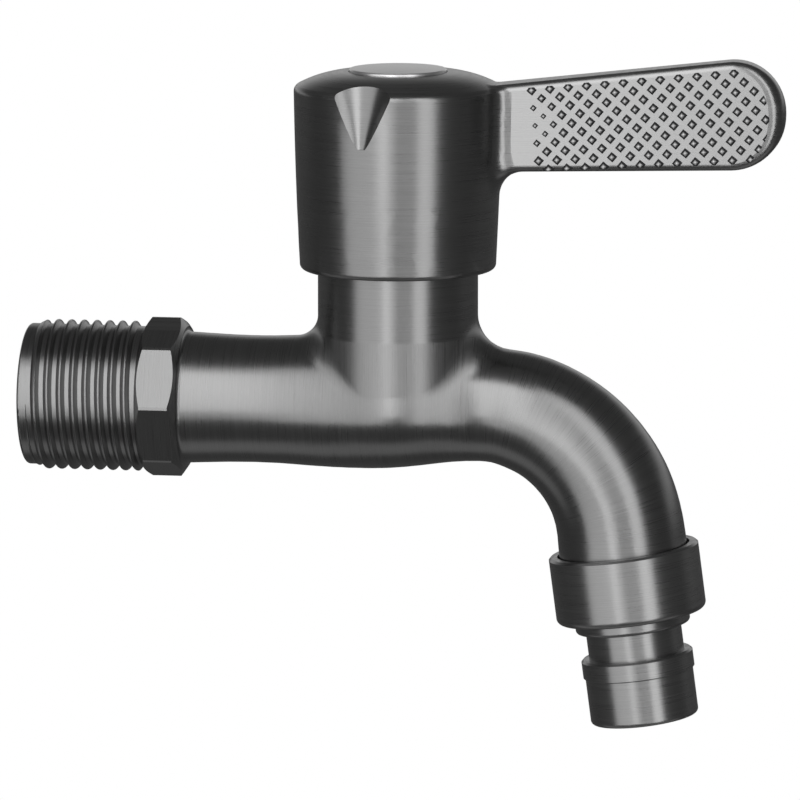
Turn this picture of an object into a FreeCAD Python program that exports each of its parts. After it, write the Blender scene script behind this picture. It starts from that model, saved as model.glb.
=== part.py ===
import FreeCAD, Part
import math
import os
import re

import Sketcher

# Washing machine tap with a quarter-turn lever. Millimetres, +Z up along the spindle.
# The origin is the centre of the collar's wall side, on the inlet axis, and +X runs towards the spout.

os.makedirs("parts", exist_ok=True)
doc = FreeCAD.newDocument("WashingMachineTap")
Vector = FreeCAD.Vector
Rotation = FreeCAD.Rotation
Placement = FreeCAD.Placement

sheet = doc.addObject("Spreadsheet::Sheet", "Sizes")

SIZES = {
    # inlet: a half inch pipe thread, cut shallow as on a cast tap
    "inletLength": 16.6,
    "inletThreadRadius": 10.4775,
    "inletRootRadius": 9.85,
    "inletRootEndRadius": 9.75,
    "inletPitch": 1.814,
    "inletTurns": 8.4,
    "inletEndRound": 0.4,
    "inletPlainLead": 0.9,
    "inletPlainEnd": 0.35,
    "threadStart": 0.8,
    "threadFadeIn": 1.9,
    "threadFadeOut": 0.6,
    "ridgeFoot": 0.72,
    "ridgeCrest": 0.24,
    "ridgeCrestDrop": 0.2,
    "ridgeSink": 0.15,
    "inletBoreRadius": 6.5,
    "inletMouthChamfer": 0.9,
    # eight-sided collar that a spanner turns
    "collarAcross": 20.8,
    "collarCornerRadius": 11.17,
    "collarLength": 5.8,
    "collarChamferRadius": 9.9,
    "collarChamferDepth": 0.9,
    "collarBlend": 0.55,
    # barrel, round at the collar and oval under the neck, where the widths are half the size across
    "flareRadius": 9.22,
    "flareEnd": 2.0,
    "flareEndRadius": 9.08,
    "barrelRadius": 8.91,
    "barrelEnd": 16.5,
    "bellyRise": 10.0,
    "bellyRiseRadius": 9.22,
    "bellyRiseWidth": 9.5,
    "bellyPeak": 5.5,
    "bellyRadius": 9.28,
    "bellyWidth": 10.3,
    "bellyFall": 1.0,
    "bellyFallRadius": 9.12,
    "bellyFallWidth": 11.3,
    "throatStart": 3.5,
    "throatStartRadius": 8.64,
    "throatStartWidth": 10.9,
    "throat": 7.5,
    "throatRadius": 8.13,
    "throatWidth": 9.2,
    # neck that holds the cartridge
    "neckX": 35.5,
    "neckRadius": 11.1,
    "neckTop": 21.2,
    "neckFoot": 0.5,
    "backBlend": 3.0,
    "frontBlend": 5.0,
    "neckThreadRadius": 9.0,
    "neckThreadBottom": 13.4,
    "neckMouthChamfer": 0.5,
    "chamberRadius": 8.6,
    "chamberWall": 2.5,
    "seatHeight": 1.0,
    "pocketRadius": 4.5,
    "pocketDepth": 7.0,
    "passageRadius": 3.2,
    # spout: a quarter bend that stops short of straight down
    "spoutStart": 11.7,
    "spoutStartRadius": 7.92,
    "spoutEndRadius": 8.95,
    "bendRadius": 19.7,
    "outletTilt": 7.6,
    "spoutRun": 3.85,
    "spoutBoreRadius": 5.5,
    "spoutBoreStart": 6.5,
    "outletThreadRadius": 8.33,
    "outletThreadLength": 5.0,
    "outletThreadLead": 0.6,
    # screw-on hose nozzle, measured along the outlet axis from the end of the bend
    "nozzleTop": 2.75,
    "nozzleRimRadius": 10.45,
    "nozzleRimLength": 9.4,
    "nozzleRimRound": 0.85,
    "nozzleRimBreak": 0.3,
    "nozzleMouthGap": 0.3,
    "nozzleMouthDepth": 1.5,
    "outletThreadGap": 0.05,
    "nozzleStepRadius": 8.0,
    "nozzleStepLength": 1.65,
    "nozzleStepRound": 0.5,
    "nozzleGrooveRadius": 6.65,
    "nozzleGrooveLength": 3.75,
    "nozzleHeadRadius": 7.78,
    "nozzleHeadLength": 2.7,
    "nozzleHeadBreak": 0.3,
    "nozzleSpigotRadius": 7.52,
    "nozzleSpigotLength": 6.5,
    "nozzleSpigotRound": 0.6,
    "nozzleBoreRadius": 4.8,
    "outletWasherRadius": 8.3,
    "outletWasherThickness": 1.4,
    "outletWasherHole": 5.4,
    "strainerThickness": 0.4,
    "strainerHole": 0.55,
    "strainerPitch": 1.6,
    # ceramic cartridge, and the clearances that the moving parts share
    "partGap": 0.05,
    "runningGap": 0.03,
    "joinOverlap": 0.5,
    "toolOverrun": 1.0,
    "skirtBottom": 1.6,
    "skirtRadius": 7.4,
    "discBoreRadius": 6.25,
    "bonnetThreadBottom": 13.8,
    "bonnetThreadLead": 0.5,
    "shoulderHeight": 14.0,
    "gasketThickness": 1.0,
    "gasketRadius": 10.8,
    "flangeRadius": 10.7,
    "flangeThickness": 1.6,
    "bonnetAcross": 17.0,
    "bonnetHexHeight": 4.8,
    "bonnetHexChamfer": 0.8,
    "bonnetHexCut": 0.2,
    "bossRadius": 7.5,
    "bossHeight": 3.4,
    "crownInner": 5.5,
    "crownHeight": 3.2,
    "crownSweep": 208.0,
    "leverSwing": 90.0,
    "windowWidth": 6.0,
    "windowBottom": 8.2,
    "windowTop": 12.6,
    "sealThickness": 2.2,
    "sealHole": 4.2,
    "discRadius": 6.2,
    "discThickness": 2.8,
    "discPortRadius": 4.6,
    "discHubRadius": 1.3,
    "discLugWidth": 2.4,
    "discLugRadius": 7.1,
    "discPortSweep": 76.0,
    "driveSlotWidth": 2.4,
    "driveSlotDepth": 1.2,
    "driveTongueLength": 11.0,
    # spindle
    "spindleRadius": 4.0,
    "spindleBaseRadius": 6.1,
    "spindleBaseThickness": 1.6,
    "thrustThickness": 0.75,
    "ringGrooveRadius": 2.9,
    "ringGrooveWidth": 1.4,
    "lowerRingRise": 3.6,
    "upperRingRise": 1.0,
    "circlipThickness": 0.7,
    "circlipRadius": 5.0,
    "circlipGrooveRadius": 3.3,
    "circlipOpening": 3.4,
    "splineRadius": 3.95,
    "splineRootRadius": 3.5,
    "splineTeeth": 20,
    "splineRise": 0.25,
    "splineLength": 7.8,
    "splineGap": 0.06,
    "stopCollarRadius": 5.1,
    "stopCollarThickness": 2.2,
    "stopLugRadius": 7.3,
    "stopLugSweep": 60.0,
    "screwHoleDepth": 8.0,
    # handle
    "hubSkirt": 2.45,
    "hubBottomRadius": 13.6,
    "hubTopRadius": 14.4,
    "hubSideRadius": 600.0,
    "hubRimRound": 1.03,
    "hubBottomRound": 0.8,
    "domeEdgeSlope": 27.9,
    "domeRise": 2.7,
    "domeRadius": 15.5,
    "hubCavityRadius": 11.5,
    "handleBossRadius": 7.9,
    "handleBossHeight": 3.2,
    "handleBossGap": 0.4,
    "handleWebThickness": 1.2,
    "insertRadius": 5.2,
    "screwRecessRadius": 5.3,
    "capSeatRadius": 6.85,
    "capSeatDepth": 1.0,
    "screwRoom": 3.2,
    "notchFootRadius": 1.3,
    "notchMouthRadius": 7.6,
    "notchFootReach": 1.0,
    "notchDrop": 6.9,
    "notchToolLength": 10.2,
    "notchTilt": 15.6,
    "notchAzimuth": 102.0,
    "leverTip": 53.75,
    "leverTipRadius": 7.45,
    "leverTipFlat": 0.42,
    "leverDrop": 2.55,
    "leverTipTopRadius": 7.1,
    "leverTopSlope": 6.6,
    "leverBottomSlope": 1.3,
    "leverRoot": 8.5,
    "leverRootThickness": 6.5,
    "leverTipThickness": 5.0,
    "leverRootBlend": 3.0,
    "leverUnderBlend": 4.0,
    "leverEdgeRound": 1.0,
    "leverTipEdgeRound": 2.2,
    # screw and cap
    "screwRadius": 2.0,
    "screwLength": 8.6,
    "screwLead": 0.4,
    "screwClearance": 0.2,
    "screwHeadRadius": 3.6,
    "screwHeadHeight": 2.0,
    "screwSlotWidth": 0.9,
    "screwSlotDepth": 1.1,
    "springWasherThickness": 0.9,
    "springWasherOpening": 0.8,
    "capRadius": 6.75,
    "capThickness": 1.64,
    "capCrown": 0.25,
    "capEdgeBreak": 0.15,
    "capSkirtWall": 0.9,
    "capSkirtDepth": 2.2,
}

# heights that follow from the sizes, each from the part that carries it
DERIVED = {
    "bendArc": "bendRadius * (90 - outletTilt) * pi / 180",
    "fixedDiscBottom": "seatHeight + sealThickness",
    "movingDiscBottom": "fixedDiscBottom + discThickness",
    "movingDiscTop": "movingDiscBottom + discThickness",
    "spindleBaseTop": "shoulderHeight - thrustThickness - partGap",
    "spindleBaseBottom": "spindleBaseTop - spindleBaseThickness",
    "lowerRingHeight": "shoulderHeight + lowerRingRise",
    "upperRingHeight": "neckTop + upperRingRise",
    "flangeBottom": "neckTop + gasketThickness",
    "hexBottom": "flangeBottom + flangeThickness",
    "bossBottom": "hexBottom + bonnetHexHeight",
    "bossTop": "bossBottom + bossHeight",
    "circlipHeight": "bossTop + partGap",
    "circlipTop": "circlipHeight + circlipThickness",
    "splineBottom": "circlipTop + splineRise",
    "spindleTop": "splineBottom + splineLength",
    "handleBossBottom": "bossTop + crownHeight + handleBossGap",
    "hubCavityTop": "handleBossBottom + handleBossHeight",
    "handleWebTop": "spindleTop + handleWebThickness",
    "screwHeadBottom": "handleWebTop + springWasherThickness",
    "screwHeadTop": "screwHeadBottom + screwHeadHeight",
    "capSeatHeight": "handleWebTop + screwRoom",
    "domeTop": "capSeatHeight + capSeatDepth",
    "hubRimHeight": "domeTop - domeRise",
    "leverTipHeight": "hubRimHeight - leverDrop",
    "hubBottom": "neckTop - hubSkirt",
    "boreEnd": "neckX - chamberRadius - chamberWall",
    "washerSeat": "spoutRun + outletThreadLength",
    "nozzleShoulder": "washerSeat + outletWasherThickness + strainerThickness",
    "nozzleRimEnd": "nozzleTop + nozzleRimLength",
    "nozzleStepEnd": "nozzleRimEnd + nozzleStepLength",
    "nozzleGrooveEnd": "nozzleStepEnd + nozzleGrooveLength",
    "nozzleHeadEnd": "nozzleGrooveEnd + nozzleHeadLength",
    "nozzleTip": "nozzleHeadEnd + nozzleSpigotLength",
}
names = set(SIZES) | set(DERIVED)

contents = {alias: str(size) for alias, size in SIZES.items()}
contents.update({alias: "=" + rule for alias, rule in DERIVED.items()})
for row, (alias, content) in enumerate(contents.items(), start=1):
    sheet.set(f"A{row}", alias)
    sheet.setAlias(f"B{row}", alias)
    sheet.set(f"B{row}", content)
doc.recompute()


def bound(text):
    """Write each size's name in an expression as a cell of the sheet."""

    def cell(word):
        return f"Sizes.{word[0]}" if word[0] in names else word[0]

    return re.sub(r"[A-Za-z]\w*", cell, str(text))


def number(text):
    return float(sheet.evalExpression(bound(text)))


def bind(item, **properties):
    for name, text in properties.items():
        item.setExpression(name.replace("_", "."), bound(text))
    return item


def place(item, x="0", y="0", z="0", axis=None, angle=None):
    """Put an object at a point, turned about an axis by an angle in degrees."""
    if axis is not None:
        item.Placement = Placement(Vector(), Rotation(Vector(*axis), max(abs(number(angle)), 1.0)))
        item.setExpression("Placement.Rotation.Angle", bound(angle))
    for letter, text in zip("xyz", (x, y, z)):
        item.setExpression(f"Placement.Base.{letter}", bound(text))
    return item


def cylinder(name, radius, height, x="0", y="0", z="0", axis=None, angle=None, sweep="360"):
    item = bind(doc.addObject("Part::Cylinder", name), Radius=radius, Height=height, Angle=sweep)
    return place(item, x, y, z, axis, angle)


def box(name, length, width, height, x="0", y="0", z="0", axis=None, angle=None):
    item = bind(doc.addObject("Part::Box", name), Length=length, Width=width, Height=height)
    return place(item, x, y, z, axis, angle)


def prism(name, sides, across, height, x="0", y="0", z="0", axis=None, angle=None):
    item = doc.addObject("Part::Prism", name)
    item.Polygon = sides
    bind(item, Circumradius=f"({across}) / 2 / cos(180 / {sides})", Height=height)
    return place(item, x, y, z, axis, angle)


def fuse(name, *items):
    item = doc.addObject("Part::MultiFuse", name)
    item.Shapes = list(items)
    item.Refine = True
    return item


def cut(name, base, *tools):
    item = doc.addObject("Part::Cut", name)
    item.Base = base
    item.Tool = tools[0] if len(tools) == 1 else fuse(name + "Tools", *tools)
    item.Refine = True
    return item


def common(name, *items):
    item = doc.addObject("Part::MultiCommon", name)
    item.Shapes = list(items)
    return item


def rounded(name, base, radius_at, chosen):
    """Fillet the edges of the base that a test picks. The radius can vary from point to point."""
    doc.recompute()
    item = doc.addObject("Part::Fillet", name)
    item.Base = base
    edges = []
    for i, edge in enumerate(base.Shape.Edges, start=1):
        if chosen(edge):
            ends = edge.Vertexes[0].Point, edge.Vertexes[-1].Point
            edges.append((i, radius_at(ends[0]), radius_at(ends[1])))
    if not edges:
        raise RuntimeError(f"{name} has no edge to round")
    item.Edges = edges
    return item


def steady(radius):
    size = number(radius)
    return lambda point: size


def origin_plane(body, role):
    return next(item for item in body.Origin.OriginFeatures if item.Role == role)


def arc_between(start, end, radius, side):
    """The short arc of this radius between two points, its centre to the left (1) or right (-1)."""
    chord = end - start
    middle = (start + end) * 0.5
    across = Vector(-chord.y, chord.x, 0).normalize() * side
    rise = math.sqrt(max(radius**2 - (chord.Length / 2) ** 2, 0))
    centre = middle + across * rise
    tip = centre - across * radius
    return Part.Arc(start, tip, end)


def outline(body, name, corners, role="XZ_Plane"):
    """A closed sketch through corners: (x, y) or, where an arc leaves a corner, (x, y, radius, side)."""
    sketch = body.newObject("Sketcher::SketchObject", name)
    sketch.AttachmentSupport = [(origin_plane(body, role), "")]
    sketch.MapMode = "FlatFace"
    points = [Vector(number(corner[0]), number(corner[1]), 0) for corner in corners]
    count = len(corners)
    first, last = [], []
    for i, corner in enumerate(corners):
        start, end = points[i], points[(i + 1) % count]
        if len(corner) == 2:
            sketch.addGeometry(Part.LineSegment(start, end), False)
            first.append(1)
            last.append(2)
            continue
        curve = arc_between(start, end, number(corner[2]), corner[3])
        sketch.addGeometry(curve, False)
        forward = (sketch.Geometry[i].StartPoint - start).Length < 1e-6
        first.append(1 if forward else 2)
        last.append(2 if forward else 1)
        radius = sketch.addConstraint(Sketcher.Constraint("Radius", i, number(corner[2])))
        sketch.setExpression(f"Constraints[{radius}]", bound(corner[2]))
    for i in range(count):
        following = (i + 1) % count
        sketch.addConstraint(Sketcher.Constraint("Coincident", i, last[i], following, first[following]))
    for i, corner in enumerate(corners):
        for kind, text in (("DistanceX", corner[0]), ("DistanceY", corner[1])):
            index = sketch.addConstraint(Sketcher.Constraint(kind, i, first[i], number(text)))
            sketch.setExpression(f"Constraints[{index}]", bound(text))
    return sketch


def turned(label, corners):
    """A body made on the lathe: a closed outline of (radius, height) corners turned round its own Z axis."""
    body = doc.addObject("PartDesign::Body", label)
    sketch = outline(body, label + "Outline", corners)
    revolution = body.newObject("PartDesign::Revolution", label + "Turned")
    revolution.Profile = sketch
    revolution.ReferenceAxis = (sketch, ["V_Axis"])
    revolution.Angle = 360
    return body


def padded(label, corners, thickness):
    """A plate cut from an outline in the XZ plane, half its thickness to each side."""
    body = doc.addObject("PartDesign::Body", label)
    sketch = outline(body, label + "Outline", corners)
    pad = body.newObject("PartDesign::Pad", label + "Pad")
    pad.Profile = sketch
    pad.Midplane = True
    pad.setExpression("Length", bound(thickness))
    return body


def splined_rod(name, outer, root, bottom, top):
    """A rod with straight teeth, crest to root in equal steps round the spindle axis."""
    teeth = int(number("splineTeeth"))
    outer, root, bottom, top = (number(text) for text in (outer, root, bottom, top))
    points = []
    for i in range(2 * teeth + 1):
        radius = outer if i % 2 == 0 else root
        angle = math.pi * i / teeth
        points.append(Vector(radius * math.cos(angle), radius * math.sin(angle), bottom))
    rod = doc.addObject("Part::Feature", name)
    rod.Shape = Part.Face(Part.makePolygon(points)).extrude(Vector(0, 0, top - bottom))
    return rod


finished = {}


def finish(node, item, on_axis=False):
    """Name a sub-part. Those on the spindle are made round their own axis and moved to the neck."""
    item.Label = node
    if on_axis:
        item.setExpression("Placement.Base.x", bound("neckX"))
    finished[node] = item
    return item


X_AXIS = Vector(1, 0, 0)
LYING = dict(axis=(0, 1, 0), angle="90")

# tap body: inlet, collar, barrel, neck and spout in one casting


def bend_end():
    tilt = math.radians(number("outletTilt"))
    across = number("neckX + spoutStart + bendRadius * cos(outletTilt)")
    down = number("bendRadius * sin(outletTilt) - bendRadius")
    return Vector(across, 0, down), Vector(math.sin(tilt), 0, -math.cos(tilt))


def spout_path(name, lead, run):
    """Centre line of the spout: a lead along the inlet axis, the bend, and a run along the outlet axis."""
    radius = number("bendRadius")
    start = Vector(number("neckX + spoutStart"), 0, 0)
    end, direction = bend_end()
    half = math.radians((90 - number("outletTilt")) / 2)
    middle = start + Vector(radius * math.sin(half), 0, radius * math.cos(half) - radius)
    edges = [Part.Arc(start, middle, end).toShape()]
    if lead > 0:
        edges.insert(0, Part.LineSegment(start - X_AXIS * lead, start).toShape())
    edges.append(Part.LineSegment(end, end + direction * run).toShape())
    path = doc.addObject("Part::Feature", name)
    path.Shape = Part.Wire(edges)
    return path


def ring(name, radius, x="0", y="0", z="0", axis=(0, 1, 0), angle="90"):
    item = bind(doc.addObject("Part::Circle", name), Radius=radius)
    return place(item, x, y, z, axis, angle)


def swept(name, path, *sections):
    item = doc.addObject("Part::Sweep", name)
    item.Sections = list(sections)
    item.Spine = (path, [f"Edge{i + 1}" for i in range(len(path.Shape.Edges))])
    item.Solid = True
    item.Frenet = False
    return item


OUTLET_X = "neckX + spoutStart + bendRadius * cos(outletTilt)"
OUTLET_Z = "bendRadius * sin(outletTilt) - bendRadius"


def on_outlet(item):
    """Stand an object made round its own Z axis, pointing down, on the outlet axis."""
    return place(item, x=OUTLET_X, z=OUTLET_Z, axis=(0, -1, 0), angle="outletTilt")


def make_inlet():
    """Inlet shank with a helical ridge that fades in at the free end and out before the collar."""
    shank = turned(
        "inletShank",
        [
            ("0", "-inletLength"),
            ("inletRootRadius - inletEndRound", "-inletLength", "inletEndRound", 1),
            ("inletRootRadius", "-inletLength + inletEndRound"),
            ("inletRootRadius", "-inletLength + inletPlainLead"),
            ("inletRootEndRadius", "-inletPlainEnd"),
            ("inletRootEndRadius", "toolOverrun"),
            ("0", "toolOverrun"),
        ],
    )
    place(shank, axis=(0, 1, 0), angle="90")
    helix = doc.addObject("Part::Helix", "ridgePath")
    bind(helix, Pitch="inletPitch", Radius="inletRootRadius", Height="inletPitch * inletTurns")
    profile = doc.addObject("Part::Feature", "ridgeProfile")
    foot, crest = number("ridgeFoot"), number("ridgeCrest")
    low, high = number("inletRootRadius - ridgeSink"), number("inletThreadRadius")
    shoulder = number("inletThreadRadius - ridgeCrestDrop")
    corners = [
        Vector(low, 0, -foot),
        Vector(shoulder, 0, -crest),
        Vector(high, 0, 0),
        Vector(shoulder, 0, crest),
        Vector(low, 0, foot),
    ]
    profile.Shape = Part.Wire(
        [
            Part.LineSegment(corners[0], corners[1]).toShape(),
            Part.Arc(corners[1], corners[2], corners[3]).toShape(),
            Part.LineSegment(corners[3], corners[4]).toShape(),
            Part.LineSegment(corners[4], corners[0]).toShape(),
        ]
    )
    doc.recompute()
    ridge = swept("ridge", helix, profile)
    ridge.Frenet = True
    # the helix starts at the front, where its own X axis turns to -Y
    ridge.Placement = Placement(Vector(), Rotation(Vector(0, -1, 0), Vector(0, 0, -1), X_AXIS, "ZXY"))
    ridge.setExpression("Placement.Base.x", bound("threadStart - inletLength"))
    envelope = turned(
        "ridgeEnvelope",
        [
            ("inletRootRadius - ridgeCrestDrop", "inletPlainLead - inletLength"),
            ("inletThreadRadius + 2 * partGap", "inletPlainLead - inletLength + threadFadeIn"),
            ("inletThreadRadius + 2 * partGap", "-inletPlainEnd - threadFadeOut"),
            ("inletRootRadius - ridgeCrestDrop", "-inletPlainEnd"),
        ],
    )
    place(envelope, axis=(0, 1, 0), angle="90")
    return shank, common("inletRidge", ridge, envelope)


def make_collar():
    """Eight-sided collar with its corners turned off at both faces."""
    blank = prism("collarBlank", 8, "collarAcross", "collarLength", **LYING)
    envelope = turned(
        "collarEnvelope",
        [
            ("0", "0"),
            ("collarChamferRadius", "0"),
            ("collarCornerRadius", "collarChamferDepth"),
            ("collarCornerRadius", "collarLength - collarChamferDepth"),
            ("collarChamferRadius", "collarLength"),
            ("0", "collarLength"),
        ],
    )
    place(envelope, axis=(0, 1, 0), angle="90")
    return common("collar", blank, envelope)


def girth(name, across, up, x, z="0", turn="0"):
    """An oval square to the waterway, at least as wide as it is high. Turn tips it down the bend."""
    item = bind(doc.addObject("Part::Ellipse", name), MajorRadius=across, MinorRadius=up)
    level, upright = number(f"cos({turn})"), number(f"1 - sin({turn})")
    return place(item, x=x, z=z, axis=(level, level, upright), angle=f"acos(-(1 + sin({turn})) / 2)")


def barrel_girths():
    sections = [
        ("collarLength - toolOverrun", "flareRadius", "flareRadius"),
        ("collarLength + flareEnd", "flareEndRadius", "flareEndRadius"),
        ("collarLength + flareEnd * 3", "barrelRadius", "barrelRadius"),
        ("neckX - barrelEnd", "barrelRadius", "barrelRadius"),
        ("neckX - bellyRise", "bellyRiseWidth", "bellyRiseRadius"),
        ("neckX - bellyPeak", "bellyWidth", "bellyRadius"),
        ("neckX - bellyFall", "bellyFallWidth", "bellyFallRadius"),
        ("neckX + throatStart", "throatStartWidth", "throatStartRadius"),
        ("neckX + throat", "throatWidth", "throatRadius"),
    ]
    return [girth(f"barrelGirth{i + 1}", across, up, x) for i, (x, across, up) in enumerate(sections)]


def spout_girths(steps):
    """Round sections down the bend, and one more at the end of the straight run after it."""
    girths = []
    for step in range(steps + 2):
        turn = f"(90 - outletTilt) * {min(step / steps, 1)}"
        run = "spoutRun" if step > steps else "0"
        share = f"({run} + bendArc * {min(step / steps, 1)}) / (bendArc + spoutRun)"
        radius = f"spoutStartRadius + (spoutEndRadius - spoutStartRadius) * {share}"
        x = f"neckX + spoutStart + bendRadius * sin({turn}) + {run} * cos({turn})"
        z = f"bendRadius * (cos({turn}) - 1) - {run} * sin({turn})"
        girths.append(girth(f"spoutGirth{step + 1}", radius, radius, x, z, turn))
    return girths


def make_skin():
    """Barrel and spout in one run, with the neck blended in on top."""
    run = doc.addObject("Part::Loft", "barrelAndSpout")
    run.Sections = barrel_girths() + spout_girths(6)
    run.Solid = True
    neck = cylinder("neck", "neckRadius", "neckTop + neckFoot", x="neckX", z="-neckFoot")
    skin = fuse("skin", run, neck)
    low, high = number("neckX - neckRadius"), number("neckX + neckRadius")
    foot, top = number("neckFoot"), number("neckTop") - 0.01

    def meets_neck(edge):
        box = edge.BoundBox
        inside = box.XMin > low - 0.01 and box.XMax < high + 0.01 and foot < box.ZMin and box.ZMax < top
        return inside and edge.Curve.TypeId != "Part::GeomLine"

    back, front = number("backBlend"), number("frontBlend")

    def blend_at(point):
        share = min(max((point.x - low) / (high - low), 0), 1)
        return back + (front - back) * share

    return rounded("blendedSkin", skin, blend_at, meets_neck)


def make_waterways():
    """Inlet bore, passage under the seat, seat pocket, cartridge chamber and spout bore."""
    bore = cylinder(
        "inletBore",
        "inletBoreRadius",
        "inletLength + boreEnd + toolOverrun",
        x="-inletLength - toolOverrun",
        **LYING,
    )
    mouth = turned(
        "inletMouth",
        [
            ("0", "-inletLength - toolOverrun"),
            ("inletBoreRadius + inletMouthChamfer + toolOverrun", "-inletLength - toolOverrun"),
            ("inletBoreRadius", "-inletLength + inletMouthChamfer"),
            ("0", "-inletLength + inletMouthChamfer"),
        ],
    )
    place(mouth, axis=(0, 1, 0), angle="90")
    passage = cylinder(
        "seatPassage",
        "passageRadius",
        "chamberRadius + chamberWall + 3 * toolOverrun",
        x="boreEnd - 3 * toolOverrun",
        z="passageRadius - pocketDepth",
        **LYING,
    )
    pocket = cylinder(
        "seatPocket", "pocketRadius", "pocketDepth + seatHeight + toolOverrun", x="neckX", z="-pocketDepth"
    )
    chamber = turned(
        "chamber",
        [
            ("0", "seatHeight"),
            ("chamberRadius", "seatHeight"),
            ("chamberRadius", "neckThreadBottom"),
            ("neckThreadRadius", "neckThreadBottom + neckThreadRadius - chamberRadius"),
            ("neckThreadRadius", "neckTop - neckMouthChamfer"),
            ("neckThreadRadius + neckMouthChamfer", "neckTop"),
            ("neckThreadRadius + neckMouthChamfer", "neckTop + toolOverrun"),
            ("0", "neckTop + toolOverrun"),
        ],
    )
    place(chamber, x="neckX")
    run = number("washerSeat + toolOverrun")
    path = spout_path("spoutBorePath", number("spoutStart - spoutBoreStart"), run)
    start = ring("spoutBoreRing", "spoutBoreRadius", x="neckX + spoutBoreStart")
    spout_bore = swept("spoutBore", path, start)
    return bore, mouth, passage, pocket, chamber, spout_bore


def make_tap_body():
    skin = make_skin()
    collar = make_collar()
    rough = fuse("roughCasting", skin, collar)
    inner, length = number("collarChamferRadius * 0.98"), number("collarLength")

    def meets_collar(edge):
        box = edge.BoundBox
        at_face = abs(box.XMin - length) < 0.01 and box.XLength < 0.01
        return at_face and max(box.YMax, -box.YMin, box.ZMax, -box.ZMin) < inner

    casting = rounded("casting", rough, steady("collarBlend"), meets_collar)
    shank, ridge = make_inlet()
    outlet = turned(
        "outletShank",
        [
            ("0", "toolOverrun - spoutRun"),
            ("outletThreadRadius", "toolOverrun - spoutRun"),
            ("outletThreadRadius", "outletThreadLead - washerSeat"),
            ("outletThreadRadius - outletThreadLead", "-washerSeat"),
            ("0", "-washerSeat"),
        ],
    )
    on_outlet(outlet)
    solid = fuse("solidTap", casting, shank, ridge, outlet)
    finish("tap_body", cut("tapBody", solid, *make_waterways()))


make_tap_body()

# hose nozzle and what it clamps, made pointing down on the outlet axis


def make_outlet():
    nozzle = turned(
        "nozzle",
        [
            ("spoutEndRadius + nozzleMouthGap", "-nozzleTop"),
            ("spoutEndRadius + nozzleMouthGap", "-nozzleTop - nozzleMouthDepth"),
            ("outletThreadRadius + outletThreadGap", "-nozzleTop - nozzleMouthDepth"),
            ("outletThreadRadius + outletThreadGap", "-nozzleShoulder"),
            ("nozzleBoreRadius", "-nozzleShoulder"),
            ("nozzleBoreRadius", "-nozzleTip"),
            ("nozzleSpigotRadius - nozzleSpigotRound", "-nozzleTip", "nozzleSpigotRound", 1),
            ("nozzleSpigotRadius", "nozzleSpigotRound - nozzleTip"),
            ("nozzleSpigotRadius", "-nozzleHeadEnd"),
            ("nozzleHeadRadius - nozzleHeadBreak / 2", "-nozzleHeadEnd"),
            ("nozzleHeadRadius", "nozzleHeadBreak / 2 - nozzleHeadEnd"),
            ("nozzleHeadRadius", "-nozzleHeadBreak - nozzleGrooveEnd"),
            ("nozzleHeadRadius - nozzleHeadBreak", "-nozzleGrooveEnd"),
            ("nozzleGrooveRadius", "-nozzleGrooveEnd"),
            ("nozzleGrooveRadius", "-nozzleStepEnd"),
            ("nozzleStepRadius - nozzleStepRound", "-nozzleStepEnd", "nozzleStepRound", 1),
            ("nozzleStepRadius", "nozzleStepRound - nozzleStepEnd"),
            ("nozzleStepRadius", "-nozzleRimEnd"),
            ("nozzleRimRadius - nozzleRimRound", "-nozzleRimEnd", "nozzleRimRound", 1),
            ("nozzleRimRadius", "nozzleRimRound - nozzleRimEnd"),
            ("nozzleRimRadius", "-nozzleTop - nozzleRimBreak"),
            ("nozzleRimRadius - nozzleRimBreak", "-nozzleTop"),
        ],
    )
    finish("hose_nozzle", on_outlet(nozzle))
    seal = washer(
        "outletSeal",
        "outletWasherHole",
        "outletWasherRadius",
        "-washerSeat - outletWasherThickness",
        "outletWasherThickness",
    )
    finish("outlet_washer", on_outlet(seal))
    blank = cylinder("strainerBlank", "outletWasherRadius", "strainerThickness")
    pitch, reach = number("strainerPitch"), number("nozzleBoreRadius - strainerHole")
    holes = []
    for row in range(-4, 5):
        for column in range(-4, 5):
            x = pitch * (column + (row % 2) / 2)
            y = pitch * row * math.sqrt(0.75)
            if math.hypot(x, y) < reach:
                name = f"strainerHole{len(holes) + 1}"
                hole = cylinder(name, "strainerHole", "strainerThickness + 2 * toolOverrun")
                hole.Placement.Base = Vector(x, y, -number("toolOverrun"))
                holes.append(hole)
    screen = on_outlet(cut("strainer", blank, *holes))
    screen.setExpression("Placement.Base.x", bound(f"{OUTLET_X} + nozzleShoulder * sin(outletTilt)"))
    screen.setExpression("Placement.Base.z", bound(f"{OUTLET_Z} - nozzleShoulder * cos(outletTilt)"))
    finish("strainer_screen", screen)


def washer(name, inner, outer, bottom, thickness):
    return turned(
        name,
        [
            (inner, bottom),
            (outer, bottom),
            (outer, f"({bottom}) + ({thickness})"),
            (inner, f"({bottom}) + ({thickness})"),
        ],
    )


make_outlet()

# ceramic cartridge, made round the spindle axis


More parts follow.
